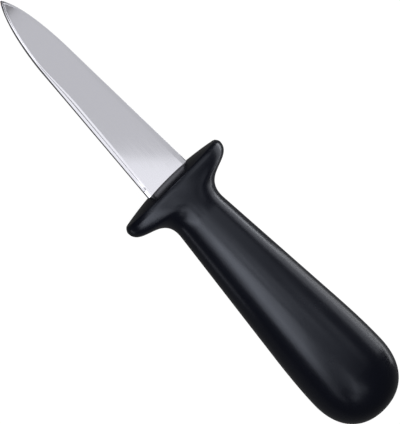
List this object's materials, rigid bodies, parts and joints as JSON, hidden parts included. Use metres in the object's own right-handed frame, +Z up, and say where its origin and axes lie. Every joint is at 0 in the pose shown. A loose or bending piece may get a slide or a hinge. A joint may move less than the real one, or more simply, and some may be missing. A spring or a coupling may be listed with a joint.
{
  "type": "oyster knife",
  "caption": "Oyster knife with a short pointed steel blade, a wide oval guard and a smooth black pear-shaped handle.",
  "frame": {"origin": "on the surface that the knife lies on, under the middle of its length and width", "axes": "+X along the knife towards the blade's point, +Y across the blade, +Z up, square to the blade's flats"},
  "size_m": [0.1758, 0.0414, 0.024],
  "materials": {
    "blade_steel": "fine satin polish, bright ground bevels",
    "handle_plastic": "smooth satin black moulding"
  },
  "bodies": {
    "root": {"blade": "blade_steel", "handle": "handle_plastic"}
  },
  "joints": []
}
